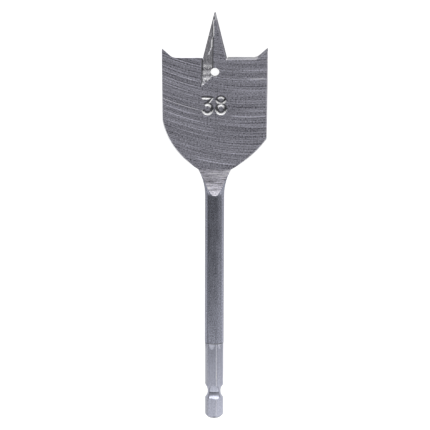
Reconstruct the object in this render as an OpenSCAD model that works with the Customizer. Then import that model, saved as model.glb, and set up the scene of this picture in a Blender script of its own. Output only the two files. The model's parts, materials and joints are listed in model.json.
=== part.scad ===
// Spade drill bit for wood: a forged flat blade with a fluted centre point and two spurs,
// on a round shank that ends in a hex drive with a detent groove.
// It lies along Y with its point towards +Y and one blade face up, as it comes to rest on a
// flat surface. Sizes are in millimetres, measured along the bit from the end of the hex drive.

/* [Blade] */
// Cutting width across the two spurs
blade_w = 38; // [30:0.5:50]
// Thickness between the two ground faces
blade_t = 3.2; // [2.4:0.1:4.5]
// Length from the end of the neck to the cutting lips
blade_len = 40.6; // [34:0.2:60]
// Narrowing of each side from the lips down to the shoulder
side_taper = 0.2; // [0.05:0.05:0.6]
// Height of the left shoulder's corner above the neck
left_corner = 17.5; // [12:0.5:24]
// Radius of the left shoulder
left_shoulder_r = 27; // [22:0.5:60]
// Height of the right shoulder's corner above the neck
right_corner = 11.3; // [9:0.1:20]
// Radius of the right shoulder
right_shoulder_r = 36; // [22:0.5:60]

/* [Lips and spurs] */
// Height of the spur tips above the lips
spur_h = 3.4; // [1.5:0.1:5]
// Width of each spur at its root
spur_w = 3.9; // [2.5:0.1:6]
// Radius where a spur's inner edge runs into its lip
spur_fillet_r = 3.5; // [0.5:0.1:5]
// Clearance angle ground behind the lips and spurs
lip_relief = 12; // [5:0.5:18]

/* [Centre point] */
// Length from the lips to the tip
point_len = 16.4; // [10:0.2:22]
// Width at the level of the lips
point_w = 9; // [7:0.1:12]
// Width of the chisel edge at the very tip
tip_w = 0.5; // [0.3:0.05:0.9]

/* [Flutes] */
// Distance of a flute's inner edge from the axis, at the lips
flute_in = 0.92; // [0.8:0.02:1.5]
// Width of a flute's floor
flute_w = 3.4; // [2.5:0.1:4.5]
// Depth at the inner edge
flute_shallow = 0.36; // [0.2:0.02:0.5]
// Depth at the outer wall
flute_deep = 1.2; // [0.7:0.05:1.3]
// Slope of the outer wall from the wheel's side, in degrees
flute_draft = 8; // [4:1:30]
// Slope of the inner wall from upright, in degrees
flute_rise = 45; // [20:1:50]
// Lean of a flute towards the tip, in degrees
flute_lean = 0.75; // [0:0.05:1]
// Distance below the lips where the floor starts to run out
flute_below = 2.3; // [0.5:0.1:6]
// Radius of the wheel that leaves the run-out
flute_wheel_r = 26; // [15:0.5:40]

/* [Hanging hole] */
// Diameter of the hole through the blade
hole_d = 3.2; // [2.5:0.1:4]
// Distance of the hole's centre below the lips
hole_below = 5.3; // [4:0.1:9]

/* [Neck] */
// Length over which the round shank flares out to the blade
neck_len = 9.8; // [7:0.1:15]
// Radius of the flare
flare_r = 20; // [17:0.5:40]
// Length of the forged ramp that runs down from the shank to each blade face
ramp_len = 9.4; // [8:0.1:16]

/* [Shank] */
// Diameter of the round shank
shank_d = 6.9; // [6.4:0.05:8.5]
// Length of the round shank between the hex drive and the neck
round_len = 54.9; // [30:0.1:120]
// Length of the small chamfer at the round shank's lower end
shank_edge = 0.3; // [0.1:0.05:0.6]

/* [Hex drive] */
// Width across the flats
hex_af = 6.3; // [5.5:0.05:6.6]
// Diameter across the rounded corners
hex_corner_d = 6.75; // [6.65:0.05:7.2]
// Length of the hex drive
hex_len = 28.3; // [24:0.1:36]
// Turn of a corner from the upright, about the axis
hex_turn = 13.5; // [0:0.5:59.5]
// Length of the cone that runs from the flats up to the round shank
hex_cone_len = 2.1; // [1:0.1:4]
// Distance from the end to the middle of the detent groove
groove_y = 10; // [8:0.1:12]
// Diameter at the bottom of the detent groove
groove_d = 4.7; // [4:0.05:5.2]
// Radius of the detent groove's section
groove_r = 3.5; // [2:0.1:4.5]
// Length of the end chamfer along the axis
chamfer_len = 1.2; // [0.5:0.1:2]
// Diameter of the flat end
end_d = 4.4; // [3.5:0.1:5.5]

/* [Hidden] */
$fn = 144;

// How far a cut reaches past the metal that it removes
over = 2;

// How far a fillet's circle sinks into the lines that it joins, so that it crosses them cleanly
blend = 0.005;

// Stations along the axis
neck_y = hex_len + round_len;
blade_y = neck_y + neck_len;
lip_y = blade_y + blade_len;
tip_y = lip_y + point_len;
ramp_y = blade_y - ramp_len;

// Half sizes of the shank and the blade
shank_r = shank_d / 2;
face_z = blade_t / 2;
half_w = blade_w / 2;

// The ramp is an arc that leaves the blade face level and ends on the shank
ramp_rise = shank_r - face_z;
ramp_r = (pow(ramp_len, 2) + pow(ramp_rise, 2)) / (2 * ramp_rise);

// Radius of the flare at a given height above the round shank
function flare_at(height) = shank_r + flare_r - sqrt(pow(flare_r, 2) - pow(height, 2));

// The blade's root is sunk into the neck, and its corners lie inside the flare's round surface
root_sink = 0.7;
root_in = 1.1;
root_half = sqrt(pow(flare_at(neck_len - root_sink), 2) - pow(face_z, 2)) - root_in;

// Each flank of the point leans in by the width of the chisel edge from its front to its back
flank_angle = atan((point_w - tip_w) / 2 / point_len);
flank_relief = atan(tip_w * cos(flank_angle) / blade_t);
flute_tilt = atan((flute_deep - flute_shallow) / flute_w);

// At rest the bit tips forward until its point touches the surface, over the ramp's lower end
rest_pitch = atan(ramp_rise / (tip_y - ramp_y));
rest_height = ramp_y * sin(rest_pitch) + shank_r * cos(rest_pitch);
front_y = tip_y * cos(rest_pitch) + face_z * sin(rest_pitch);
back_y = -end_d / 2 * sin(rest_pitch);

// Centre of the circle of radius r through p and q, to the left of the way from p to q
function arc_centre(p, q, r) =
    let (way = q - p, half = norm(way) / 2, rise = sqrt(r * r - half * half) / (2 * half))
    (p + q) / 2 + rise * [-way.y, way.x];

// Stands a shape that was made along Z on the bit's axis, along Y
module along_axis() {
    rotate([-90, 0, 0]) children();
}

// Repeats a ground feature on the other half of the blade, half a turn round the axis
module both_halves() {
    for (turn = [0, 180]) rotate([0, turn, 0]) children();
}

// Space swept by a wheel of radius r that plunges to z = 0 at y = 0 and runs on along +Y
module wheel_sweep(width, r, run) {
    rotate([90, 0, 90]) linear_extrude(width) {
        square([run, r]);
        translate([0, r]) circle(r);
    }
}

// Round shank, with the cone above the hex flats and the flare of the neck
module turned_shank() {
    along_axis() rotate_extrude() {
        polygon([
            [0, hex_len - hex_cone_len],
            [hex_af / 2, hex_len - hex_cone_len],
            [hex_corner_d / 2, hex_len],
            [shank_r, hex_len + shank_edge],
            [shank_r, neck_y],
            [0, neck_y]
        ]);
        difference() {
            translate([0, neck_y - over]) square([flare_at(neck_len), neck_len + 2 * over]);
            translate([shank_r, neck_y - 2 * over]) square([flare_r, 2 * over]);
            translate([shank_r + flare_r, neck_y]) circle(flare_r);
        }
    }
}

// Hex drive with rounded corners, chamfered end and detent groove
module hex_drive() {
    intersection() {
        along_axis() rotate([0, 0, hex_turn - 90]) cylinder(h = hex_len, d = hex_af / cos(30), $fn = 6);
        along_axis() rotate_extrude() difference() {
            polygon([
                [0, 0],
                [end_d / 2, 0],
                [hex_corner_d / 2, chamfer_len],
                [hex_corner_d / 2, hex_len + over],
                [0, hex_len + over]
            ]);
            translate([groove_d / 2 + groove_r, groove_y]) circle(groove_r);
        }
    }
}

// Right half of the blade's outline, with its shoulder's corner at the given height above the neck
module half_outline(corner_len, shoulder_r) {
    root = [root_half, blade_y - root_sink];
    corner = [half_w - side_taper, blade_y + corner_len];
    difference() {
        polygon([
            [-over, root.y],
            [corner.x, root.y],
            corner,
            [half_w, lip_y],
            [half_w, tip_y + over],
            [-over, tip_y + over]
        ]);
        difference() {
            translate([0, root.y - over]) square([half_w, corner.y - root.y + over]);
            translate(arc_centre(root, corner, shoulder_r)) circle(shoulder_r);
        }
    }
}

// Blade before grinding, as thick as the shank
module blade_blank() {
    linear_extrude(shank_d, center = true) {
        half_outline(right_corner, right_shoulder_r);
        mirror([1, 0]) half_outline(left_corner, left_shoulder_r);
    }
}

// Metal outside one blade face and its ramp
module face_cut() {
    translate([-blade_w, blade_y, face_z]) wheel_sweep(2 * blade_w, ramp_r, blade_len + point_len + 2 * over);
}

// Profile above the left lip and spur, with y = 0 on the lip
module lip_profile() {
    spur_top = spur_h * cos(lip_relief);
    slope = atan(spur_top / spur_w);
    tangent = spur_fillet_r * tan(slope / 2);
    corner = [spur_w - half_w, 0];
    centre = corner + [tangent, spur_fillet_r];
    lip_foot = corner + [tangent, 0];
    spur_foot = corner + tangent * [-cos(slope), sin(slope)];
    polygon([
        lip_foot,
        [point_w, 0],
        [point_w, point_len + blade_t],
        [-half_w - over, point_len + blade_t],
        [-half_w - over, spur_top + over * tan(slope)],
        spur_foot
    ]);
    translate(centre) circle(spur_fillet_r + blend);
}

// Metal ground away between the left spur and the point, with clearance behind each cutting edge
module lip_cut() {
    intersection() {
        translate([0, lip_y, face_z])
            rotate([-lip_relief, 0, 0])
                linear_extrude(4 * shank_d, center = true) lip_profile();
        translate([-point_w / 2, lip_y, face_z])
            rotate([0, 0, -flank_angle])
                rotate([0, -flank_relief, 0])
                    translate([-2 * blade_w, -blade_len, -blade_w])
                        cube([2 * blade_w, blade_len + 2 * point_len, 2 * blade_w]);
    }
}

// Space swept by that wheel's rim, which slopes away beyond its edge at x = 0
module rim_sweep(r, run, slope) {
    rim_h = 2 * flute_deep;
    rim_w = rim_h * tan(slope);
    translate([0, 0, r]) rotate([0, -90, 0]) cylinder(h = rim_w, r1 = r, r2 = r - rim_h);
    rotate([90, 0, 180]) linear_extrude(run) polygon([[0, 0], [rim_w, rim_h], [0, rim_h]]);
}

// Flute in front of the point's left flank, deepest at its outer wall
module flute_cut() {
    width = flute_w / cos(flute_tilt);
    run = flute_below + 2 * point_len;
    translate([-flute_in, lip_y, face_z - flute_shallow])
        rotate([0, 0, -flute_lean])
            rotate([0, -flute_tilt, 0])
                translate([-width, -flute_below, 0]) {
                    wheel_sweep(width, flute_wheel_r, run);
                    rim_sweep(flute_wheel_r, run, flute_draft);
                    translate([width, 0, 0])
                        mirror([1, 0, 0]) rim_sweep(flute_wheel_r, run, flute_tilt + flute_rise);
                }
}

module hanging_hole() {
    translate([0, lip_y - hole_below, 0]) cylinder(h = shank_d, d = hole_d, center = true);
}

module spade_bit() {
    color("slategray")
        translate([0, -(front_y + back_y) / 2, rest_height])
            rotate([-rest_pitch, 0, 0])
                difference() {
                    union() {
                        turned_shank();
                        hex_drive();
                        blade_blank();
                    }
                    both_halves() {
                        face_cut();
                        lip_cut();
                        flute_cut();
                    }
                    hanging_hole();
                }
}

spade_bit();
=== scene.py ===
# %% [markdown]
# # A spade drill bit, dressed for its picture
#
# The bit is one piece of steel: a hex drive, a round shank, a flared neck and a flat blade with
# two spurs and a centre point. Its solid comes from the CAD frame with all its true sizes. This
# lesson gives it what a solid lacks: broken edges, the size number that is stamped into the blade,
# and the different marks that forging, grinding and drawing leave on each of its surfaces.

# %% Load the frame
import json
import math

import bpy
from mathutils import Matrix, Vector

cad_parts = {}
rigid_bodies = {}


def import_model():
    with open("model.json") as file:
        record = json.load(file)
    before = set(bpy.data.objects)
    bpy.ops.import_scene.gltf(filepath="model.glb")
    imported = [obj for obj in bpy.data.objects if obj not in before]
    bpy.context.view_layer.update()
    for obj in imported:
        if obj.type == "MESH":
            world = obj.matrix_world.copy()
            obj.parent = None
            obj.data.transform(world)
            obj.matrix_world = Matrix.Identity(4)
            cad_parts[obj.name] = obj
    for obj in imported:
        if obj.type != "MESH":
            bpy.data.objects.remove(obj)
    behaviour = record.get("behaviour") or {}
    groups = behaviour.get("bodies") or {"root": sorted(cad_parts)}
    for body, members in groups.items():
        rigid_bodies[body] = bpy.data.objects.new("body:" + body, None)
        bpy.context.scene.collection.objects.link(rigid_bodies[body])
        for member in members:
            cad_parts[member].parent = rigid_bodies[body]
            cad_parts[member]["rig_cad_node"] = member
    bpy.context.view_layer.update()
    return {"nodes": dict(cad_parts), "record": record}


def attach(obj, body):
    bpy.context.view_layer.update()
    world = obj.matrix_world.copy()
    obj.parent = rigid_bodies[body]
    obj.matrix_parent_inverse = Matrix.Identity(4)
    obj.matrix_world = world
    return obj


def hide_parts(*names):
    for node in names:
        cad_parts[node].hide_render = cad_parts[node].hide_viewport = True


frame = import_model()
solid = frame["nodes"]["spade_bit"]
print("CAD solid:", len(solid.data.polygons), "triangles")

# %% [markdown]
# ## The bit's own axis
#
# The bit lies a little nose down, so its axis isn't quite level. Everything on it is easier to
# place along that axis, as on a lathe. All pieces could hang on a turned empty, but a finished
# piece should sit at the origin with its place in its mesh, so we use a matrix instead. The record
# says where the hex drive ends and which way its axis points. That is all it takes to get from the
# bit's own millimetres (x across the blade, s along the bit from its drive end, z out of the
# blade's upper face) to a place in the frame.

# %% Axis frame from the hex drive's mount
MM = 0.001
BIT_LENGTH = 150
drive = next(m for m in frame["record"]["mounts"] if m["name"] == "hex_drive")
drive_end = Vector(drive["pos_m"])
across_axis = Vector((1, 0, 0))
along_axis = -Vector(drive["axis"]).normalized()
up_axis = across_axis.cross(along_axis)
turn = Matrix((across_axis, along_axis, up_axis)).transposed()
to_own = turn.transposed()
pitch = math.atan2(turn[2][1], turn[1][1])


def spot(x, s, z):
    """A point of the bit in its own millimetres, as a place in the frame in metres."""
    return drive_end + turn @ (Vector((x, s, z)) * MM)


def own(point):
    """A place in the frame, in the bit's own millimetres."""
    return to_own @ (Vector(point) - drive_end) / MM


print("axis pitch:", round(math.degrees(pitch), 3), "degrees; tip near", spot(0, BIT_LENGTH, 0))

# %% [markdown]
# ## A working copy of the solid
#
# The solid is the whole bit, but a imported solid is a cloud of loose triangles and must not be
# changed. The shape could be modelled again by hand, and would then never agree so well. So we
# duplicate the solid, weld the corners that share a place, and dissolve the edges that only divide
# a flat face. What is left has one face for each flat and clean rows of quads round the shank,
# which bevels and cuts need.

# %% Duplicate the solid
bpy.ops.object.select_all(action="DESELECT")
solid.select_set(True)
bpy.context.view_layer.objects.active = solid
bpy.ops.object.duplicate()
bit = bpy.context.active_object
bit.name = bit.data.name = "steel_bit"
# The mark of a CAD node came along with the copy, and belongs to the solid alone.
del bit["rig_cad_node"]
print("copy:", bit.name, "with", len(bit.data.vertices), "loose corners")

# %% Weld and simplify it
WELD = 0.001 * MM
FLAT_ANGLE = math.radians(0.4)
bpy.ops.object.mode_set(mode="EDIT")
bpy.ops.mesh.select_all(action="SELECT")
bpy.ops.mesh.remove_doubles(threshold=WELD)
bpy.ops.mesh.customdata_custom_splitnormals_clear()
bpy.ops.mesh.dissolve_limited(angle_limit=FLAT_ANGLE, delimit={"NORMAL"})
bpy.ops.object.mode_set(mode="OBJECT")
print("working copy:", len(bit.data.vertices), "corners,", len(bit.data.polygons), "faces")

# %% [markdown]
# ## Broken edges
#
# No edge of a real tool is perfectly sharp. Tumbling takes about a tenth of a millimetre off each
# one, and the shoulders, where the blade narrows to the neck, are broken wider by the grinder. That
# strip is what catches the light. Two bevels in edit mode could cut the two widths. A Bevel
# modifier that reads a weight from each edge makes both at once, and joins them where they meet.
# All sharp edges get a little weight, and those of the shoulders get the rest. In a few places so
# many edges crowd together that their strips would overlap and fold, so those edges stay sharp.

# %% Which edges are broken
SHOULDER_LOW_S = 93.8
SHOULDER_TOP_S = 111.2
SHOULDER_IN_X = 6.0
SHOULDER_IN_Z = 1.5
# Each crowded place has its lowest and highest s, then its nearest and furthest x.
CROWDED = [
    (7.3, 8.2, 0.0, 4.0),  # rim of the hex drive's groove
    (91.9, 94.8, 0.0, 9.0),  # root of the blade
    (126.7, 129.9, 0.8, 1.4),  # rim of the hanging hole
    (132.3, 134.6, 3.8, 4.9),  # foot of the centre point
]


def middle(edge):
    """The middle of an edge of the bit, in its own millimetres."""
    first, second = (own(bit.data.vertices[i].co) for i in edge.vertices)
    return (first + second) / 2


def has_room(edge):
    """Whether an edge lies clear of the places where strips would overlap."""
    x, s, _ = middle(edge)
    return not any(low < s < top and near < abs(x) < far for low, top, near, far in CROWDED)


def on_shoulder(edge):
    """Whether an edge follows the outline of a face where the blade narrows to the neck."""
    x, s, z = middle(edge)
    beside = SHOULDER_LOW_S < s < SHOULDER_TOP_S
    return beside and abs(x) > SHOULDER_IN_X and abs(z) > SHOULDER_IN_Z


room_count = sum(has_room(edge) for edge in bit.data.edges)
print("edges with room for a strip:", room_count, "of", len(bit.data.edges))

# %% Give the sharp edges their weights
EDGE_BREAK = 0.1 * MM
SHOULDER_BREAK = 0.3 * MM
SHARP_ANGLE = math.radians(35)


def keep_selected(test):
    """Drops the selected edges that fail a test, and counts those that stay selected."""
    for edge in bit.data.edges:
        edge.select = edge.select and test(edge)
    return sum(edge.select for edge in bit.data.edges)


def add_weight(share):
    """Adds to the bevel weight of the selected edges."""
    bpy.ops.object.mode_set(mode="EDIT")
    bpy.ops.transform.edge_bevelweight(value=share)
    bpy.ops.object.mode_set(mode="OBJECT")


bpy.ops.object.mode_set(mode="EDIT")
bpy.ops.mesh.select_mode(type="EDGE")
bpy.ops.mesh.select_all(action="DESELECT")
bpy.ops.mesh.edges_select_sharp(sharpness=SHARP_ANGLE)
bpy.ops.object.mode_set(mode="OBJECT")
sharp_count = keep_selected(has_room)
add_weight(EDGE_BREAK / SHOULDER_BREAK)
shoulder_count = keep_selected(on_shoulder)
add_weight(1 - EDGE_BREAK / SHOULDER_BREAK)
print("sharp edges:", sharp_count, "of which on the shoulders:", shoulder_count)

# %% Bevel them


def apply_modifiers(piece):
    """Applies the modifiers of a piece, from the first to the last."""
    bpy.ops.object.select_all(action="DESELECT")
    piece.select_set(True)
    bpy.context.view_layer.objects.active = piece
    for modifier in list(piece.modifiers):
        bpy.ops.object.modifier_apply(modifier=modifier.name)


breaks = bit.modifiers.new("broken edges", "BEVEL")
breaks.width = SHOULDER_BREAK
breaks.segments = 2
breaks.limit_method = "WEIGHT"
breaks.use_clamp_overlap = False
apply_modifiers(bit)
print("with broken edges:", len(bit.data.polygons), "faces")

# %% [markdown]
# ## The stamped size number
#
# The number 38 is the width of the hole that the bit bores, in millimetres, struck into the blade
# with a steel stamp. A text object would be quicker, but it cuts flat-bottomed letters, while a
# stamp leaves rounded furrows whose two sides catch the light differently. So each stroke is a
# round bar that is sunk partly in the face and later subtracted from it. The 8 is two rings. The 3
# is a bar, a slanting bar and a bowl.

# %% Where the strokes lie
FACE_Z = 1.6
STROKE_R = 0.78
STROKE_LIFT = 0.38
stamp_z = FACE_Z + STROKE_LIFT


def name_tool(name):
    """Names the stroke that was just added, and hands it back."""
    tool = bpy.context.active_object
    tool.name = "stamp_" + name
    return tool


def lay_on_face(x, s):
    """A matrix that lays a stroke flat over a place of the blade's upper face."""
    return Matrix.Translation(spot(x, s, stamp_z)) @ turn.to_4x4()


print("furrows are", round(STROKE_R - STROKE_LIFT, 2), "mm deep")

# %% [markdown]
# Each loop of the 8 is a torus. It is made an oval in edit mode, so the object itself stays
# unscaled, and then laid on the face.

# %% Two rings for the 8


def ring_tool(name, x, s, half_w, half_h):
    """A ring that lies on the blade's face, as wide and high as a loop of the number."""
    bpy.ops.object.select_all(action="DESELECT")
    bpy.ops.mesh.primitive_torus_add(
        major_segments=48,
        minor_segments=16,
        major_radius=half_w * MM,
        minor_radius=STROKE_R * MM,
    )
    ring = name_tool(name)
    bpy.ops.object.mode_set(mode="EDIT")
    bpy.ops.mesh.select_all(action="SELECT")
    bpy.ops.transform.resize(value=(1, half_h / half_w, 1), center_override=(0, 0, 0))
    bpy.ops.object.mode_set(mode="OBJECT")
    ring.data.transform(lay_on_face(x, s))
    return ring


eight_upper = ring_tool("8_upper", 2.2, 118.4, half_w=1.34, half_h=1.12)
eight_lower = ring_tool("8_lower", 2.2, 115.15, half_w=1.5, half_h=1.62)
print("ring:", len(eight_upper.data.polygons), "faces")

# %% [markdown]
# A straight stroke has round ends. A cylinder would need two caps, so we take a ball instead,
# select the half beyond its middle, and pull that out to the length of the stroke.

# %% Two bars for the 3
BEYOND_MIDDLE = 0.01 * MM


def select_corners(piece, wanted):
    """Selects the corners that pass a test, and nothing else, ready for edit mode."""
    bpy.ops.object.mode_set(mode="EDIT")
    bpy.ops.mesh.select_all(action="DESELECT")
    bpy.ops.object.mode_set(mode="OBJECT")
    for vertex in piece.data.vertices:
        vertex.select = wanted(vertex.co)


def bar_tool(name, start, end, radius=STROKE_R):
    """A round-ended bar between two places on the blade's face: a ball, pulled out in length."""
    way = Vector(end) - Vector(start)
    bpy.ops.object.select_all(action="DESELECT")
    bpy.ops.mesh.primitive_uv_sphere_add(segments=24, ring_count=12, radius=radius * MM)
    bar = name_tool(name)
    select_corners(bar, lambda place: place.x > BEYOND_MIDDLE)
    bpy.ops.object.mode_set(mode="EDIT")
    bpy.ops.transform.translate(value=(way.length * MM, 0, 0))
    bpy.ops.object.mode_set(mode="OBJECT")
    lean = Matrix.Rotation(math.atan2(way.y, way.x), 4, "Z")
    bar.data.transform(lay_on_face(*start) @ lean)
    return bar


three_top = bar_tool("3_top", (-4.15, 119.2), (-1.4, 119.2))
three_slant = bar_tool("3_slant", (-1.15, 119.1), (-2.5, 117.15), radius=0.74)
print("bar:", len(three_top.data.polygons), "faces")

# %% [markdown]
# The foot of the 3 is an open bowl, which is a part of a ring. A torus would have to be cut open,
# so we use Spin: it sweeps a small disc round the bowl's centre, just as far as the stroke goes.

# %% A bowl for the 3


def bowl_tool(name, x, s, half_w, half_h, start_deg, sweep_deg):
    """Part of a ring: a disc that is spun clockwise about the bowl's centre."""
    bpy.ops.object.select_all(action="DESELECT")
    bpy.ops.mesh.primitive_circle_add(
        vertices=16,
        radius=STROKE_R * MM,
        fill_type="NGON",
        location=(half_w * MM, 0, 0),
        rotation=(math.radians(90), 0, 0),
    )
    bowl = name_tool(name)
    bpy.ops.object.transform_apply(location=True, rotation=True, scale=True)
    bpy.ops.object.mode_set(mode="EDIT")
    bpy.ops.mesh.select_all(action="SELECT")
    bpy.ops.mesh.spin(steps=36, angle=math.radians(sweep_deg), center=(0, 0, 0), axis=(0, 0, 1))
    bpy.ops.mesh.select_all(action="SELECT")
    bpy.ops.mesh.remove_doubles(threshold=WELD)
    bpy.ops.mesh.normals_make_consistent(inside=False)
    bpy.ops.object.mode_set(mode="OBJECT")
    bowl.data.transform(Matrix.Rotation(math.radians(start_deg), 4, "Z"))
    oval = Matrix.Diagonal((1, half_h / half_w, 1, 1))
    bowl.data.transform(lay_on_face(x, s) @ oval)
    return bowl


three_bowl = bowl_tool(
    "3_bowl", -2.65, 115.2, half_w=1.6, half_h=1.72, start_deg=130, sweep_deg=300
)
print("bowl:", len(three_bowl.data.polygons), "faces")

# %% [markdown]
# The strokes of a numeral cross each other. Cut one by one, they would leave slivers where they
# meet, so they are first fused into one closed tool with the Boolean modifier's exact solver.

# %% Fuse the strokes of each numeral


def add_boolean(piece, operation, other):
    """A Boolean that carries the other piece's material into the cut."""
    cut = piece.modifiers.new(other.name, "BOOLEAN")
    cut.operation = operation
    cut.solver = "EXACT"
    cut.material_mode = "TRANSFER"
    cut.object = other


def fuse(first, *others):
    """Joins the strokes of one numeral into a single clean tool."""
    for other in others:
        add_boolean(first, "UNION", other)
    apply_modifiers(first)
    for other in others:
        bpy.data.objects.remove(other)
    return first


eight = fuse(eight_upper, eight_lower)
three = fuse(three_top, three_slant, three_bowl)
print("stamp tools:", len(eight.data.polygons), "and", len(three.data.polygons), "faces")

# %% [markdown]
# ## Materials
#
# All surfaces are the same steel, and only the marks of their making differ. A picture of real
# steel would bring its own light and its own scale, so the marks are made by nodes. Building each
# finish node by node would repeat the same dozen nodes thirteen times, so a few small functions
# and node groups hold what the finishes share.

# %% Node helpers


def add_node(tree, kind, inputs=None, **settings):
    """Adds a node, then sets each named input to a value or links it to a socket."""
    node = tree.nodes.new(kind)
    for name, value in settings.items():
        setattr(node, name, value)
    for name, value in (inputs or {}).items():
        if isinstance(value, bpy.types.NodeSocket):
            tree.links.new(value, node.inputs[name])
        else:
            node.inputs[name].default_value = value
    return node


def maths(tree, operation, first, second=0.0):
    """The result of a Math node."""
    node = add_node(tree, "ShaderNodeMath", {0: first, 1: second}, operation=operation)
    return node.outputs[0]


def stretch(tree, value, low, high):
    """A value that runs from 0 at low to 1 at high, and stays there beyond them."""
    node = add_node(
        tree,
        "ShaderNodeMapRange",
        {"Value": value, "From Min": low, "From Max": high},
        clamp=True,
    )
    return node.outputs["Result"]


def new_group(name, inputs, outputs):
    """An empty node group with named value sockets."""
    tree = bpy.data.node_groups.new(name, "ShaderNodeTree")
    for label, default in inputs.items():
        socket = tree.interface.new_socket(label, in_out="INPUT", socket_type="NodeSocketFloat")
        socket.default_value = default
    for label in outputs:
        tree.interface.new_socket(label, in_out="OUTPUT", socket_type="NodeSocketFloat")
    return tree, tree.nodes.new("NodeGroupInput"), tree.nodes.new("NodeGroupOutput")


# %% [markdown]
# ### Tool marks
#
# A wheel, a die or a cutter leaves many fine lines, a few deeper scratches among them, patches
# where it pressed harder, a fine grain, and waves where it chattered. Noise that is stretched far
# along the marks gives the lines, the scratches and the patches. The group takes two coordinates,
# across the marks and along them, so the same lines can run in arcs, straight across or along.

# %% Tool marks group
MARK_NAMES = ["Lines", "Scratches", "Patches", "Grain", "Waves"]
marks, marks_in, marks_out = new_group(
    "Tool marks",
    {"Across": 0.0, "Along": 0.0, "Pitch": 0.9, "Length": 16.0, "Wave": 2.26, "Seed": 0.0},
    MARK_NAMES,
)


def line_noise(pitch_scale, length_scale, shift, detail):
    """Noise that is stretched along the marks. Pitch and Length are in millimetres."""
    pitch_m = maths(marks, "MULTIPLY", marks_in.outputs["Pitch"], pitch_scale * MM)
    length_m = maths(marks, "MULTIPLY", marks_in.outputs["Length"], length_scale * MM)
    place = add_node(
        marks,
        "ShaderNodeCombineXYZ",
        {
            "X": maths(marks, "DIVIDE", marks_in.outputs["Across"], pitch_m),
            "Y": maths(marks, "DIVIDE", marks_in.outputs["Along"], length_m),
            "Z": maths(marks, "ADD", marks_in.outputs["Seed"], shift),
        },
    )
    noise = add_node(
        marks,
        "ShaderNodeTexNoise",
        {"Vector": place.outputs[0], "Scale": 1.0, "Detail": detail, "Roughness": 0.62},
    )
    return noise.outputs["Fac"]


fine = line_noise(pitch_scale=1.0, length_scale=1.0, shift=0.0, detail=3.0)
lines = stretch(marks, fine, 0.3, 0.7)
sparse = line_noise(pitch_scale=1.0, length_scale=1.5, shift=7.3, detail=1.0)
scratches = stretch(marks, sparse, 0.55, 0.72)
broad = line_noise(pitch_scale=7.0, length_scale=0.7, shift=3.1, detail=2.0)
patches = stretch(marks, broad, 0.3, 0.7)
marks.links.new(lines, marks_out.inputs["Lines"])
marks.links.new(scratches, marks_out.inputs["Scratches"])
marks.links.new(patches, marks_out.inputs["Patches"])
print("group:", marks.name, [s.name for s in marks.interface.items_tree])

# %% [markdown]
# The grain is a finer noise, which has one size on all surfaces. The waves are a sine across the
# marks, and the patches bend them a little, because no machine chatters quite evenly.

# %% Grain and waves of the tool marks
GRAIN_WIDTH = 0.26 * MM
GRAIN_LENGTH = 0.6 * MM
WAVE_BEND = 2.5
speck = add_node(
    marks,
    "ShaderNodeCombineXYZ",
    {
        "X": maths(marks, "DIVIDE", marks_in.outputs["Across"], GRAIN_WIDTH),
        "Y": maths(marks, "DIVIDE", marks_in.outputs["Along"], GRAIN_LENGTH),
        "Z": marks_in.outputs["Seed"],
    },
)
grain = add_node(
    marks, "ShaderNodeTexNoise", {"Vector": speck.outputs[0], "Scale": 1.0, "Detail": 1.0}
)
marks.links.new(stretch(marks, grain.outputs["Fac"], 0.25, 0.75), marks_out.inputs["Grain"])
wave_m = maths(marks, "MULTIPLY", marks_in.outputs["Wave"], MM / (2 * math.pi))
bend = maths(marks, "MULTIPLY", maths(marks, "SUBTRACT", patches, 0.5), WAVE_BEND)
swing = maths(marks, "ADD", maths(marks, "DIVIDE", marks_in.outputs["Across"], wave_m), bend)
waves = stretch(marks, maths(marks, "SINE", swing), -1.0, 1.0)
marks.links.new(waves, marks_out.inputs["Waves"])
print("group:", marks.name, "has", len(marks.nodes), "nodes")

# %% [markdown]
# ### Steel tone
#
# Every finish mixes its brightness and roughness from those marks in the same way, so that is a
# second group: darker in the bottom of the lines, lighter on the scratches, and a slow drift of
# tone over the surface. The height that it puts out goes to a Bump node, so the lines turn the
# light too.

# %% Steel tone group
tone, tone_in, tone_out = new_group(
    "Steel tone",
    {
        "Lines": 0.5,
        "Scratches": 0.0,
        "Patches": 0.5,
        "Grain": 0.5,
        "Waves": 0.5,
        "Contrast": 0.3,
        "Scratch": 0.3,
        "Drift": 0.15,
        "Speckle": 0.3,
        "Chatter": 0.0,
        "Roughness": 0.3,
        "Roughness spread": 0.1,
    },
    ["Brightness", "Roughness", "Height"],
)


def centred(socket, weight):
    """How far a mark is from its middle value, times a weight."""
    offset = maths(tone, "SUBTRACT", tone_in.outputs[socket], 0.5)
    return maths(tone, "MULTIPLY", offset, tone_in.outputs[weight])


brightness = maths(tone, "ADD", centred("Lines", "Contrast"), 1.0)
brightness = maths(tone, "ADD", brightness, centred("Patches", "Drift"))
brightness = maths(tone, "ADD", brightness, centred("Grain", "Speckle"))
brightness = maths(tone, "ADD", brightness, centred("Waves", "Chatter"))
scratch_light = maths(tone, "MULTIPLY", tone_in.outputs["Scratches"], tone_in.outputs["Scratch"])
brightness = maths(tone, "ADD", brightness, scratch_light)
rough = maths(tone, "ADD", tone_in.outputs["Roughness"], centred("Patches", "Roughness spread"))
height = maths(tone, "ADD", tone_in.outputs["Lines"], tone_in.outputs["Scratches"])
tone.links.new(brightness, tone_out.inputs["Brightness"])
tone.links.new(rough, tone_out.inputs["Roughness"])
tone.links.new(height, tone_out.inputs["Height"])
print("group:", tone.name, "has", len(tone.nodes), "nodes")

# %% [markdown]
# ### Long scratches
#
# A few scratches are deeper than the rest and run right over the blade. Noise can't be told where
# to put them, so a small group draws one such line: where it lies across the marks, and where it
# starts and ends along them.

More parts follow.
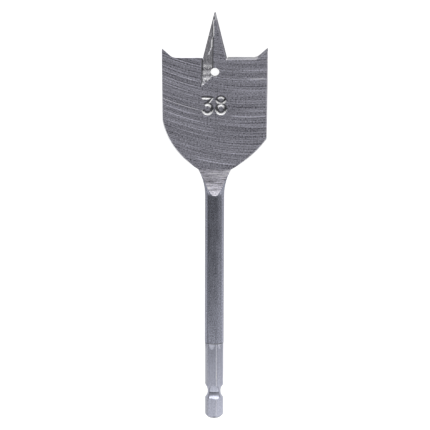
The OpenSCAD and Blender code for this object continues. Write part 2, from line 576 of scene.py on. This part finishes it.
# %% Long scratch group
SCRATCH_HALF = 0.24 * MM
SCRATCH_FADE = 3.0 * MM
long_line, long_in, long_out = new_group(
    "Long scratch",
    {"Across": 0.0, "Along": 0.0, "Place": 0.0, "Start": 0.0, "End": 0.0, "Strength": 1.0},
    ["Light"],
)
gap = maths(long_line, "SUBTRACT", long_in.outputs["Across"], long_in.outputs["Place"])
light = stretch(long_line, maths(long_line, "ABSOLUTE", gap), SCRATCH_HALF, 0.0)
for first, second in (("Along", "Start"), ("End", "Along")):
    inside = maths(long_line, "SUBTRACT", long_in.outputs[first], long_in.outputs[second])
    light = maths(long_line, "MULTIPLY", light, stretch(long_line, inside, 0.0, SCRATCH_FADE))
light = maths(long_line, "MULTIPLY", light, long_in.outputs["Strength"])
long_line.links.new(light, long_out.inputs["Light"])
print("group:", long_line.name, "has", len(long_line.nodes), "nodes")

# %% [markdown]
# ### Which way the marks run
#
# The wheel that grinds the blade swings over it and leaves one arc after the other. A straight
# pass of a wheel, or a lathe, leaves lines across the bit, and the die that the bar was drawn
# through leaves lines along it. A UV map could hold these ways, but then each of them would need
# its own unwrapping. Object coordinates, turned onto the bit's axis, give all three by a little
# arithmetic, and they stay with the mesh.

# %% Directions of the marks
ARC_RADIUS = 76.0
ARC_LOW_X = 12.5
BAR_RADIUS = 3.4


def bit_place(tree):
    """Object coordinates turned onto the bit's axis, as three values in metres."""
    coords = add_node(tree, "ShaderNodeTexCoord")
    turned = add_node(
        tree,
        "ShaderNodeMapping",
        {
            "Vector": coords.outputs["Object"],
            "Location": to_own @ -drive_end,
            "Rotation": (-pitch, 0, 0),
        },
        vector_type="POINT",
    )
    parts = add_node(tree, "ShaderNodeSeparateXYZ", {0: turned.outputs[0]})
    return parts.outputs["X"], parts.outputs["Y"], parts.outputs["Z"]


def arc_marks(tree):
    """Arcs that the face of a large wheel leaves: the same arc, moved along the blade."""
    x, y, _ = bit_place(tree)
    off = maths(tree, "SUBTRACT", x, ARC_LOW_X * MM)
    sag = maths(tree, "DIVIDE", maths(tree, "MULTIPLY", off, off), 2 * ARC_RADIUS * MM)
    return maths(tree, "SUBTRACT", y, sag), x


def cross_marks(tree):
    """Straight lines across the bit."""
    x, y, _ = bit_place(tree)
    return y, x


def bar_marks(tree):
    """Lines along the bar: across them is the way round the shank."""
    x, y, z = bit_place(tree)
    angle = maths(tree, "ARCTAN2", x, z)
    return maths(tree, "MULTIPLY", angle, BAR_RADIUS * MM), y


print("arcs have a radius of", ARC_RADIUS, "mm")

# %% [markdown]
# ### One recipe for all finishes
#
# A finish is a direction, the marks in that direction, their tone, and a colour that the tone
# makes lighter or darker, with a Bump node for the height. One function builds that chain, so
# every finish is a short list of values. What is the same all over a surface, such as its metal
# and its tint at a grazing angle, is set on the shader's own sockets.

# %% One function for all finishes
GRAZING_TINT = (0.75, 0.75, 0.78, 1)
FINISHES = {}


def steel(
    name, direction, color, seed, bump_mm, marks_values, tone_values,
    grazing=GRAZING_TINT, scratches=(),
):
    """Makes a finish of the steel and keeps it under its name."""
    material = bpy.data.materials.new(name)
    material.use_nodes = True
    tree = material.node_tree
    shader = tree.nodes["Principled BSDF"]
    shader.inputs["Metallic"].default_value = 1.0
    shader.inputs["Specular Tint"].default_value = grazing
    across, along = direction(tree)
    way = {"Across": across, "Along": along}
    drawn = add_node(
        tree, "ShaderNodeGroup", {**way, "Seed": seed, **marks_values}, node_tree=marks
    )
    shown = {label: drawn.outputs[label] for label in MARK_NAMES}
    toned = add_node(tree, "ShaderNodeGroup", {**shown, **tone_values}, node_tree=tone)
    light = toned.outputs["Brightness"]
    for place, start, end, strength in scratches:
        line = {"Place": place * MM, "Start": start * MM, "End": end * MM, "Strength": strength}
        scratch = add_node(tree, "ShaderNodeGroup", {**way, **line}, node_tree=long_line)
        light = maths(tree, "ADD", light, scratch.outputs["Light"])
    tint = add_node(
        tree, "ShaderNodeVectorMath", {0: color, "Scale": light}, operation="SCALE"
    )
    bump = add_node(
        tree,
        "ShaderNodeBump",
        {"Height": toned.outputs["Height"], "Strength": 1.0, "Distance": bump_mm * MM},
    )
    tree.links.new(tint.outputs[0], shader.inputs["Base Color"])
    tree.links.new(toned.outputs["Roughness"], shader.inputs["Roughness"])
    tree.links.new(bump.outputs[0], shader.inputs["Normal"])
    FINISHES[name] = material


# %% [markdown]
# ### Ground blade and neck
#
# The blade's faces are ground by a coarse wheel: a dull grey with close arcs, a strong grain and
# some long scratches, which are placed one by one. The ramp that leads from the neck down to the
# blade, here called the tongue, is ground straight across and is lighter.

# %% Ground finishes
# Each scratch has its place across the arcs, its start and end along them, and its strength.
BLADE_SCRATCHES = [
    (129.1, 8.0, 20.0, 1.0), (126.0, 11.0, 20.0, 1.8), (124.5, -20.0, -9.0, 0.8),
    (122.8, -20.0, -6.0, 0.9), (120.7, -19.0, -5.0, 1.0), (118.3, -20.0, -8.0, 0.8),
    (117.0, -17.0, -5.5, 0.7), (114.5, 9.5, 20.0, 0.8), (112.6, -21.0, -4.0, 2.0),
    (112.2, 4.5, 20.0, 1.5), (110.6, -20.0, -7.0, 0.8), (108.4, -19.0, -3.0, 0.9),
    (105.5, -18.0, 0.0, 0.8), (103.6, -16.0, 2.0, 0.7), (101.4, -14.0, 4.0, 0.7),
    (99.4, -2.0, 9.0, 0.8), (98.6, -15.0, -4.0, 0.7), (96.9, -13.0, 0.0, 0.7),
    (95.6, -9.5, 4.0, 0.8), (94.7, -7.0, 9.0, 1.3),
]
steel(
    "blade_grind", arc_marks, color=(0.355, 0.351, 0.407), seed=1.0, bump_mm=0.008,
    marks_values={"Pitch": 0.25, "Length": 30.0, "Wave": 0.95},
    tone_values={
        "Contrast": 1.2, "Scratch": 0.6, "Drift": 0.06, "Speckle": 1.5, "Chatter": 0.25,
        "Roughness": 0.34,
    },
    scratches=BLADE_SCRATCHES,
)
steel(
    "tongue_grind", cross_marks, color=(0.62, 0.605, 0.68), seed=2.6, bump_mm=0.010,
    marks_values={"Pitch": 0.32, "Length": 8.0},
    tone_values={
        "Contrast": 1.5, "Scratch": 0.3, "Drift": 0.1, "Speckle": 0.7, "Roughness": 0.36,
    },
)
print("finishes so far:", ", ".join(FINISHES))

# %% [markdown]
# ### Drawn bar and hex drive
#
# The shank and the hex drive are as the die left them, smooth enough to mirror the room, so their
# roughness is low and their bump almost nothing. The hex drive's corners carry a painted highlight,
# a bright line along each corner, and the cone at its end is turned on a lathe.

# %% Drawn and turned finishes
steel(
    "bar_drawn", bar_marks, color=(0.53, 0.545, 0.65), seed=3.0, bump_mm=0.002,
    marks_values={"Pitch": 0.5, "Length": 9.0},
    tone_values={
        "Contrast": 0.3, "Scratch": 0.1, "Drift": 0.03, "Speckle": 0.85, "Roughness": 0.13,
        "Roughness spread": 0.03,
    },
)
steel(
    "hex_drawn", bar_marks, color=(0.55, 0.565, 0.67), seed=4.0, bump_mm=0.001,
    marks_values={"Pitch": 0.6, "Length": 12.0},
    tone_values={
        "Contrast": 0.14, "Scratch": 0.05, "Drift": 0.05, "Speckle": 0.35, "Roughness": 0.12,
        "Roughness spread": 0.03,
    },
    grazing=(1, 1, 1, 1),
)
# Painted highlight: the thin bright line along each corner of the hex drive.
steel(
    "corner_painted_highlight", bar_marks, color=(0.80, 0.81, 0.92), seed=9.0, bump_mm=0.002,
    marks_values={"Pitch": 0.4, "Length": 5.0},
    tone_values={
        "Contrast": 0.3, "Scratch": 0.3, "Drift": 0.2, "Speckle": 0.2, "Roughness": 0.25,
    },
)
steel(
    "cone_turned", cross_marks, color=(0.48, 0.49, 0.57), seed=8.0, bump_mm=0.003,
    marks_values={"Pitch": 0.4, "Length": 8.0},
    tone_values={"Contrast": 0.2, "Scratch": 0.2, "Drift": 0.2, "Roughness": 0.2},
)
print("finishes so far:", ", ".join(FINISHES))

# %% [markdown]
# ### Edges
#
# The lips, the spurs and the sides of the blade are ground last and are the brightest steel on the
# bit, painted lighter still as a highlight for the light that their narrow faces catch. The strips
# of the broken edges and the flanks of the point are tumbled, so they are greyer.

# %% Finishes of the edges
# Freshly ground edges, made lighter still as a painted highlight for the light their narrow faces
# catch.
steel(
    "edge_grind_and_highlight", cross_marks, color=(0.90, 0.90, 0.955), seed=5.0, bump_mm=0.01,
    marks_values={"Pitch": 0.5, "Length": 6.0},
    tone_values={"Contrast": 0.3, "Scratch": 0.3, "Drift": 0.2, "Roughness": 0.44},
)
steel(
    "edge_broken", cross_marks, color=(0.55, 0.545, 0.61), seed=12.0, bump_mm=0.005,
    marks_values={"Pitch": 0.5, "Length": 3.0},
    tone_values={"Contrast": 0.4, "Scratch": 0.3, "Drift": 0.3, "Roughness": 0.34},
)
print("finishes so far:", ", ".join(FINISHES))

# %% [markdown]
# ### Flutes
#
# A flute is the channel that a cutter mills beside the point. Its floor is fairly smooth, with
# ripples where the cutter was lifted out of the steel. Its deep walls are painted dark, as painted
# shade.

# %% Finishes of the flutes
steel(
    "flute_mill", cross_marks, color=(0.53, 0.525, 0.57), seed=6.0, bump_mm=0.02,
    marks_values={"Pitch": 1.2, "Length": 0.5},
    tone_values={"Contrast": 0.6, "Scratch": 0.4, "Drift": 0.2, "Roughness": 0.24},
)
# Painted light: the run-out is painted lighter than the rest of the flute's floor.
steel(
    "runout_painted_light", cross_marks, color=(0.66, 0.655, 0.70), seed=6.0, bump_mm=0.03,
    marks_values={"Pitch": 0.4, "Length": 1.0},
    tone_values={
        "Contrast": 0.8, "Scratch": 0.4, "Drift": 0.3, "Chatter": -0.9, "Roughness": 0.24,
    },
)
# Painted shade: near black on the deep walls of the flutes and on the step at the foot of the cone.
steel(
    "wall_painted_shade", bar_marks, color=(0.16, 0.16, 0.17), seed=11.0, bump_mm=0.005,
    marks_values={"Pitch": 0.4, "Length": 2.0},
    tone_values={"Contrast": 0.5, "Scratch": 0.3, "Drift": 0.3, "Roughness": 0.3},
)
print("finishes so far:", ", ".join(FINISHES))

# %% [markdown]
# ### Furrows of the stamp
#
# A struck furrow is bright on the side that looks towards the light and dark on the other. Two
# finishes paint that in, a painted highlight and painted shade, so the contrast stays in any light,
# which shading alone would not give.

# %% Finishes of the stamp
# Painted highlight: near white on the side of a furrow that looks towards the point.
steel(
    "stamp_painted_highlight", cross_marks, color=(0.95, 0.95, 0.97), seed=10.0, bump_mm=0.005,
    marks_values={"Pitch": 0.5, "Length": 2.0},
    tone_values={"Contrast": 0.2, "Scratch": 0.2, "Drift": 0.2, "Roughness": 0.5},
)
# Painted shade: near black on the rest of a furrow.
steel(
    "stamp_painted_shade", cross_marks, color=(0.10, 0.10, 0.11), seed=7.0, bump_mm=0.005,
    marks_values={"Pitch": 0.5, "Length": 2.0},
    tone_values={"Contrast": 0.4, "Scratch": 0.2, "Drift": 0.3, "Roughness": 0.3},
)
print("finishes:", ", ".join(FINISHES))

# %% [markdown]
# ## Cutting the number
#
# The two numerals are now struck into the blade. The Boolean carries the material of its tool into
# the cut, so the furrows come out with their own finish. Where the rings of the 8 cross, the cut
# leaves corners closer than two thousandths of a millimetre, and merging those keeps the mesh
# clean.

# %% Cut the number
SLIVER = 0.002 * MM
bit.data.materials.clear()
for material in FINISHES.values():
    bit.data.materials.append(material)
for numeral in (eight, three):
    numeral.data.materials.clear()
    # The furrows start out with the painted shade.
    numeral.data.materials.append(FINISHES["stamp_painted_shade"])
    add_boolean(bit, "DIFFERENCE", numeral)
apply_modifiers(bit)
for numeral in (eight, three):
    bpy.data.objects.remove(numeral)
bpy.ops.object.mode_set(mode="EDIT")
bpy.ops.mesh.select_all(action="SELECT")
bpy.ops.mesh.remove_doubles(threshold=SLIVER)
bpy.ops.mesh.dissolve_degenerate(threshold=SLIVER)
bpy.ops.object.mode_set(mode="OBJECT")
print("with the number:", len(bit.data.polygons), "faces")

# %% [markdown]
# ## A finish for each surface
#
# Faces could be picked by hand and given their materials, but a list of face numbers is lost with
# the next change to the shape. All faces are sorted instead by where they lie along the bit and
# which way they face, as a grinder would name them. We start with two questions about one face:
# whether it is a strip of a broken edge, and whether it is a corner of the hex drive.

# %% Questions about a face
HEX_TURN = 13.5
HEX_STEP = 60
STRIP_SHARE = 0.9


def narrow(face):
    """Whether a face is one of the thin strips of a broken edge."""
    corners = [bit.data.vertices[i].co for i in face.vertices]
    longest = max((a - b).length for a, b in zip(corners, corners[1:] + corners[:1]))
    return face.area < STRIP_SHARE * EDGE_BREAK * longest


def corner_offset(normal):
    """How far a face of the hex drive is turned from the nearest corner, in degrees."""
    angle = math.degrees(math.atan2(normal.x, normal.z)) - HEX_TURN
    return abs((angle + HEX_STEP / 2) % HEX_STEP - HEX_STEP / 2)


print("narrow faces:", sum(narrow(face) for face in bit.data.polygons))

# %% [markdown]
# The blade has the most finishes. A flute's floor and walls lie between the blade's two faces, its
# inner edge runs beside the bit's axis, and everything that isn't a flute or a flat face is an
# edge. How far a face's normal leans out of the blade or along the bit tells them apart.

# %% Finishes on the blade and its point
FLUTE_LOW_S = 117
FLUTE_TOP_S = 149.7
FLUTE_OUT_X = 5.2
FLUTE_IN_X = 1.2
FLUTE_TOP_Z = FACE_Z - 0.05
LIFT_S = 131.4
POINT_S = 133.6
TIP_S = 147.0
LEVEL = 0.05
RUNOUT_SLOPE = 0.35
STRIP_LEAN = 0.1
WALL_LEAN = 0.3
FLOOR_LEAN = 0.85
EDGE_LEAN = 0.9
FLAT_LEAN = 0.99


def blade_finish(face, x, s, z, normal):
    """The name of the finish of a face on the blade."""
    lean = abs(normal.z)
    in_flute = s > FLUTE_LOW_S and abs(x) < FLUTE_OUT_X and abs(z) < FLUTE_TOP_Z
    if in_flute and abs(normal.y) < RUNOUT_SLOPE:
        if lean > FLOOR_LEAN:
            return "flute_mill" if s > LIFT_S else "runout_painted_light"
        if lean > WALL_LEAN:
            return "wall_painted_shade"
    flute_edge = FLUTE_LOW_S < s < FLUTE_TOP_S and abs(x) < FLUTE_IN_X and abs(normal.y) < LEVEL
    if flute_edge and WALL_LEAN < lean < EDGE_LEAN:
        return "wall_painted_shade"
    if flute_edge or lean > FLAT_LEAN:
        return "blade_grind"
    if lean > STRIP_LEAN and narrow(face):
        return "edge_broken"
    return "edge_broken" if POINT_S < s < TIP_S else "edge_grind_and_highlight"


print("finishes change on the point at", LIFT_S, POINT_S, "and", TIP_S, "mm")

# %% [markdown]
# Below the blade there are only a few: the hex drive with its corner lines painted bright as a
# highlight, the turned cone, the step where it meets the shank, painted dark as shade, the tongue,
# and the drawn bar, which is all the rest.

# %% Finishes on the drive and the shank
CONE_LOW_S = 26
STEP_LOW_S = 28.3
STEP_TOP_S = 28.7
HEX_TOP_S = 28.4
CORNER_DEGREES = 4
TONGUE_LOW_S = 82
TONGUE_TOP_Z = 3.44
TONGUE_SLOPE = 0.001
TONGUE_TILT = 0.1
BLADE_LOW_S = 92.9


def finish_of(face):
    """The name of the finish that belongs on a face of the bit."""
    x, s, z = own(face.center)
    normal = to_own @ face.normal
    if CONE_LOW_S < s < STEP_TOP_S and normal.y < -LEVEL:
        # The step is painted dark with the same painted shade.
        return "wall_painted_shade" if s > STEP_LOW_S else "cone_turned"
    if s < HEX_TOP_S:
        on_bright_corner = abs(normal.y) < LEVEL and corner_offset(normal) < CORNER_DEGREES
        return "corner_painted_highlight" if on_bright_corner else "hex_drawn"
    if s > BLADE_LOW_S:
        return blade_finish(face, x, s, z, normal)
    on_neck = s > TONGUE_LOW_S and abs(z) < TONGUE_TOP_Z
    if on_neck and abs(normal.x) < TONGUE_TILT and normal.y > TONGUE_SLOPE:
        return "tongue_grind"
    return "bar_drawn"


tongue_count = sum(finish_of(face) == "tongue_grind" for face in bit.data.polygons)
print("the tongue has", tongue_count, "faces")

# %% [markdown]
# Two surfaces change their finish halfway along a single flat face: the flute's floor, whose
# run-out, where the cutter was lifted out, is painted lighter as painted light, and the flanks of
# the point, whose last few millimetres are ground bright and painted lighter still as a highlight.
# Bisect cuts just those faces in two, so that each half can have its own finish.

# %% Divide faces where a finish changes


def divide(s, names):
    """Cuts the faces that have one of some finishes in two at s."""
    bpy.ops.object.mode_set(mode="EDIT")
    bpy.ops.mesh.select_mode(type="FACE")
    bpy.ops.mesh.select_all(action="DESELECT")
    bpy.ops.object.mode_set(mode="OBJECT")
    for face in bit.data.polygons:
        face.select = finish_of(face) in names
    bpy.ops.object.mode_set(mode="EDIT")
    bpy.ops.mesh.bisect(plane_co=spot(0, s, 0), plane_no=along_axis)
    bpy.ops.object.mode_set(mode="OBJECT")


divide(LIFT_S, ("flute_mill", "runout_painted_light"))
divide(TIP_S, ("edge_broken", "edge_grind_and_highlight"))
print("divided:", len(bit.data.polygons), "faces")

# %% [markdown]
# Now each face gets the slot of its finish. The faces of the furrows came with the painted shade,
# and those that look towards the point change to the painted highlight.

# %% Give each face its finish
STAMP_LIT = 0.1
order = [material.name for material in bit.data.materials]
stamp_index = order.index("stamp_painted_shade")
counts = dict.fromkeys(order, 0)
for face in bit.data.polygons:
    if face.material_index != stamp_index:
        face.material_index = order.index(finish_of(face))
    # Furrow faces that look towards the point get the painted highlight.
    elif (to_own @ face.normal).y > STAMP_LIT:
        face.material_index = order.index("stamp_painted_highlight")
    counts[order[face.material_index]] += 1
print("faces by finish:", counts)

# %% [markdown]
# ## Smooth rounds and true flats
#
# The shank has to look round, and a ground flat has to look flat right up to its broken edge.
# Smooth shading alone lets the strips pull at the flats. So each line where two finishes meet is
# marked sharp, small angles are smoothed, and a Weighted Normal modifier lets the large faces win.
# The tongue is left out of that, because it is a curve made of many narrow faces.

# %% Mark the lines where finishes meet
SMOOTH_ANGLE = math.radians(18)
finish_at = {}
for face in bit.data.polygons:
    for key in face.edge_keys:
        finish_at.setdefault(key, set()).add(face.material_index)
bpy.ops.object.mode_set(mode="EDIT")
bpy.ops.mesh.select_mode(type="EDGE")
bpy.ops.mesh.select_all(action="DESELECT")
bpy.ops.object.mode_set(mode="OBJECT")
for edge in bit.data.edges:
    edge.select = len(finish_at[edge.key]) > 1
border_count = sum(edge.select for edge in bit.data.edges)
bpy.ops.object.mode_set(mode="EDIT")
bpy.ops.mesh.mark_sharp()
bpy.ops.object.mode_set(mode="OBJECT")
bpy.ops.object.shade_smooth_by_angle(angle=SMOOTH_ANGLE, keep_sharp_edges=True)
print("edges between two finishes:", border_count)

# %% Let the large faces win
tongue_index = order.index("tongue_grind")
tongue_faces = [face for face in bit.data.polygons if face.material_index == tongue_index]
tongue = bit.vertex_groups.new(name="tongue")
for face in tongue_faces:
    tongue.add(list(face.vertices), 1, "ADD")
flats = bit.modifiers.new("true flats", "WEIGHTED_NORMAL")
flats.mode = "FACE_AREA"
flats.weight = 100
flats.keep_sharp = True
flats.vertex_group = "tongue"
flats.invert_vertex_group = True
apply_modifiers(bit)
print("tongue:", len(tongue_faces), "faces keep their plain smooth shading")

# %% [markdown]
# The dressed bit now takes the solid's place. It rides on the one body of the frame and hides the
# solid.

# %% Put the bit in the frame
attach(bit, "root")
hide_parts("spade_bit")
print("dressed bit:", len(bit.data.polygons), "faces")

# %% [markdown]
# ## Burr in the flute
#
# The cutter that mills the flute leaves a thin bright burr. It starts on the flute's inner edge
# near the tip and wanders over the floor towards the lip. A curve with a round section would be too
# even. A tiny disc, extruded from place to place along that way and made now thick, now thin, is as
# ragged as a real burr. Each place is found by looking straight down on the steel.

# %% Where the burr runs
BURR_STEP = 0.22
BURR_LIFT = 0.05
BURR_PINCH = 0.35
BURR_SMOOTH = math.radians(50)
LOOK_FROM_Z = 5
# Each point of the way has its x, its s and the burr's radius there.
BURR_WAY = [
    (-0.40, 147.3, 0.2), (-0.62, 145.6, 0.26), (-0.55, 145.3, 0.08), (-0.44, 144.7, 0.22),
    (-0.42, 141.8, 0.24), (-0.60, 141.2, 0.08), (-1.0, 140.3, 0.1), (-1.1, 139.8, 0.32),
    (-1.14, 137.6, 0.32), (-1.25, 137.3, 0.1), (-1.5, 136.9, 0.3), (-1.62, 136.4, 0.28),
    (-1.8, 136.0, 0.1), (-2.05, 135.5, 0.3), (-2.2, 134.6, 0.26),
]


def on_top(x, s):
    """The place on the steel's upper side at x and s, in metres."""
    _, place, _, _ = bit.ray_cast(spot(x, s, LOOK_FROM_Z), -up_axis)
    return place + up_axis * BURR_LIFT * MM


places = []
radii = []
for (x0, s0, r0), (x1, s1, r1) in zip(BURR_WAY, BURR_WAY[1:]):
    steps = max(2, round(math.dist((x0, s0), (x1, s1)) / BURR_STEP))
    for step in range(steps):
        part = step / steps
        places.append(on_top(x0 + (x1 - x0) * part, s0 + (s1 - s0) * part))
        radii.append((r0 + (r1 - r0) * part) * (1.0 if len(radii) % 2 else BURR_PINCH))
print("burr:", len(places), "places")

# %% Extrude the burr
bpy.ops.object.select_all(action="DESELECT")
bpy.ops.mesh.primitive_circle_add(
    vertices=8,
    radius=radii[0] * MM,
    fill_type="NGON",
    location=places[0],
    rotation=(math.radians(90), 0, 0),
)
burr = bpy.context.active_object
burr.name = burr.data.name = "flute_burr"
bpy.ops.object.transform_apply(location=True, rotation=True, scale=True)
bpy.ops.object.mode_set(mode="EDIT")
bpy.ops.mesh.select_all(action="SELECT")
for i in range(1, len(places)):
    bpy.ops.mesh.extrude_region_move(TRANSFORM_OT_translate={"value": places[i] - places[i - 1]})
    grow = radii[i] / radii[i - 1]
    bpy.ops.transform.resize(value=(grow, grow, grow), center_override=places[i])
bpy.ops.mesh.select_all(action="SELECT")
bpy.ops.mesh.normals_make_consistent(inside=False)
bpy.ops.object.mode_set(mode="OBJECT")
bpy.ops.object.shade_smooth_by_angle(angle=BURR_SMOOTH)
# The burr wears the near-white steel of the furrows' painted highlight.
burr.data.materials.append(FINISHES["stamp_painted_highlight"])
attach(burr, "root")
print("burr:", len(burr.data.polygons), "faces")

# %% [markdown]
# ## Floor
#
# The bit lies on a plain white table. A brighter lamp would whiten the table and burn out the steel
# with it. So the table itself glows, only for rays that come from the camera, straight or through
# glass, and its grey paint still takes the bit's soft shadow.

# %% White floor
FLOOR_SIZE = 4.0
SEEN_GLOW = 0.85
WHITE = (1, 1, 1, 1)
bpy.ops.object.select_all(action="DESELECT")
bpy.ops.mesh.primitive_plane_add(size=FLOOR_SIZE, location=(0, 0, 0))
floor = bpy.context.active_object
floor.name = floor.data.name = "floor"
white = bpy.data.materials.new("white_table")
white.use_nodes = True
tree = white.node_tree
paint = tree.nodes["Principled BSDF"]
paint.inputs["Base Color"].default_value = (0.5, 0.5, 0.5, 1)
paint.inputs["Roughness"].default_value = 0.9
paint.inputs["Specular IOR Level"].default_value = 0.0
rays = add_node(tree, "ShaderNodeLightPath")
seen = maths(tree, "MAXIMUM", rays.outputs["Is Camera Ray"], rays.outputs["Is Transmission Ray"])
seen = maths(tree, "MULTIPLY", seen, SEEN_GLOW)
glow = add_node(tree, "ShaderNodeEmission", {"Color": WHITE, "Strength": seen})
both = add_node(tree, "ShaderNodeAddShader", {0: paint.outputs[0], 1: glow.outputs[0]})
floor.data.materials.append(white)
print("floor:", FLOOR_SIZE, "m wide, material", white.name)

# %% [markdown]
# ### What the steel mirrors in the table
#
# The round shank shows the table along both its sides, and there the table isn't one even white.
# Glossy rays get a glow instead of the paint, a painted reflection of the table with a painted
# shadow in it: darkest right beside the bit, where the bit would shade it, brightest a little
# further out, and dimmer far away. It is also painted brighter on the right, near the drive end and
# beyond the tip. It is laid out in the floor's own coordinates, so it stays in place in every view.

# %% Glow for reflections
# Each glow has its value on the left of the bit and on the right.
NEAR_GLOW = (0.68, 0.84)
FAR_GLOW = (0.26, 0.40)
# Each span says where a change starts and where it is complete.
RIGHT_SPAN = (-10 * MM, 10 * MM)
NEAR_SPAN = (100 * MM, 15 * MM)
PAINTED_SHADOW_SPAN = (-5 * MM, 7 * MM)
DRIVE_SPAN = (150 * MM, -70 * MM)
TIP_SPAN = (45 * MM, 75 * MM)
coords = add_node(tree, "ShaderNodeTexCoord")
place = add_node(tree, "ShaderNodeSeparateXYZ", {0: coords.outputs["Object"]})
rightness = stretch(tree, place.outputs["X"], *RIGHT_SPAN)


def left_to_right(glow):
    """A glow that changes from its left value to its right one under the bit."""
    change = maths(tree, "MULTIPLY", rightness, glow[1] - glow[0])
    return maths(tree, "ADD", change, glow[0])


side = maths(tree, "ABSOLUTE", place.outputs["X"])
near = maths(tree, "MULTIPLY", stretch(tree, side, *NEAR_SPAN), left_to_right(NEAR_GLOW))
# Painted shadow: the glow is dimmed right beside the bit.
near = maths(tree, "MULTIPLY", near, stretch(tree, side, *PAINTED_SHADOW_SPAN))
far = left_to_right(FAR_GLOW)
by_drive = stretch(tree, place.outputs["Y"], *DRIVE_SPAN)
beyond_tip = stretch(tree, place.outputs["Y"], *TIP_SPAN)
lifted = maths(tree, "MAXIMUM", by_drive, beyond_tip)
painted_reflection = maths(tree, "MULTIPLY", maths(tree, "MAXIMUM", near, far), lifted)
mirror = add_node(tree, "ShaderNodeEmission", {"Color": WHITE, "Strength": painted_reflection})
choice = add_node(
    tree,
    "ShaderNodeMixShader",
    {0: rays.outputs["Is Glossy Ray"], 1: both.outputs[0], 2: mirror.outputs[0]},
)
tree.links.new(choice.outputs[0], tree.nodes["Material Output"].inputs["Surface"])
print("floor material:", len(tree.nodes), "nodes")

# %% [markdown]
# ## Studio light
#
# Polished steel shows what is round it, so the light is drawn as a room: a bright screen beyond
# the point, a softer one beyond the drive end, and a dim gap between them overhead, where the
# camera stands. Area lamps could stand for the screens, and would leave hard noisy edges on the
# shank. The world shader makes them from the direction alone, so they are smooth and quiet.

# %% World and its screens
PEAK = 1.8
# Each stop has an angle along the bit's axis, from behind the drive to beyond the point, in
# degrees, and the light that comes from there.
SCREENS = [
    (-90, 0.80), (-40, 0.82), (-24, 0.90), (-18, 0.98), (-16.8, 0.93), (-15.9, 0.78), (-15.2, 0.44),
    (-14.7, 0.33), (-13.8, 0.27), (-12.8, 0.19), (-11.8, 0.05), (-10.6, 0.055), (-7.6, 0.24),
    (-1.6, 0.31), (5.4, 0.38), (16.4, 0.45), (22.4, 0.56), (28.4, 0.90), (38.4, 1.6), (55, 1.8),
    (70, 1.6), (90, 1.2),
]
world = bpy.data.worlds.new("studio")
bpy.context.scene.world = world
world.use_nodes = True
tree = world.node_tree
ramp = add_node(tree, "ShaderNodeValToRGB")
stops = ramp.color_ramp.elements
while len(stops) < len(SCREENS):
    stops.new(0.5)
for stop, (degrees, _) in zip(stops, SCREENS):
    stop.position = (degrees + 90) / 180
for stop, (_, level) in zip(stops, SCREENS):
    stop.color = (level / PEAK, level / PEAK, level / PEAK, 1)
print("world:", len(stops), "stops of light")

# %% [markdown]
# The ramp needs an angle to read: how far a direction leans along the bit's axis, which is the
# arcsine of a dot product. A weak screen on the right is added to it, and the camera itself sees
# plain white.

# %% Light from a direction
RIGHT_SCREEN = (0.4, 0.95)
RIGHT_LEVEL = 0.15
sky = tree.nodes["Background"]
sky.inputs["Color"].default_value = WHITE
direction = add_node(tree, "ShaderNodeTexCoord").outputs["Generated"]
parts = add_node(tree, "ShaderNodeSeparateXYZ", {0: direction})
ahead = add_node(
    tree, "ShaderNodeVectorMath", {0: direction, 1: along_axis}, operation="DOT_PRODUCT"
)
lean = maths(tree, "ARCSINE", ahead.outputs["Value"])
tree.links.new(stretch(tree, lean, -math.pi / 2, math.pi / 2), ramp.inputs["Fac"])
right = maths(tree, "MULTIPLY", stretch(tree, parts.outputs["X"], *RIGHT_SCREEN), RIGHT_LEVEL)
level = maths(tree, "ADD", maths(tree, "MULTIPLY", ramp.outputs[0], PEAK), right)
rays = add_node(tree, "ShaderNodeLightPath")
backdrop = add_node(
    tree, "ShaderNodeMix", {"Factor": rays.outputs["Is Camera Ray"], "A": level, "B": 1.0}
)
tree.links.new(backdrop.outputs["Result"], sky.inputs["Strength"])
print("world:", len(tree.nodes), "nodes")

# %% [markdown]
# ## Camera
#
# A long lens looks down on the bit from about 770 mm, a little from the point's side. The image is
# taken to be square, so the lens follows from how large the bit is in it. The camera is placed by
# the bit's own axis, which is simpler than aiming it with a constraint and leaves nothing live.

# %% Camera
CAMERA_DISTANCE = 770.0
CAMERA_LEAN = math.radians(11.0)
CAMERA_ROLL = math.radians(0.15)
LENS_MM = 177.3
SENSOR_MM = 36.0
IMAGE_MID_X = 0.16
IMAGE_MID_S = 76.0
aim = spot(IMAGE_MID_X, IMAGE_MID_S, 0)
bpy.ops.object.camera_add()
camera = bpy.context.active_object
camera.name = "photo_camera"
gaze = turn @ Matrix.Rotation(-CAMERA_LEAN, 3, "X")
stand = aim + gaze @ Vector((0, 0, CAMERA_DISTANCE * MM))
rolled = gaze @ Matrix.Rotation(CAMERA_ROLL, 3, "Z")
camera.matrix_world = Matrix.Translation(stand) @ rolled.to_4x4()
camera.data.lens = LENS_MM
camera.data.sensor_width = SENSOR_MM
camera.data.clip_start = 0.01
bpy.context.scene.camera = camera
bpy.context.scene.view_settings.view_transform = "Standard"
print("camera at", tuple(round(v, 4) for v in camera.location))
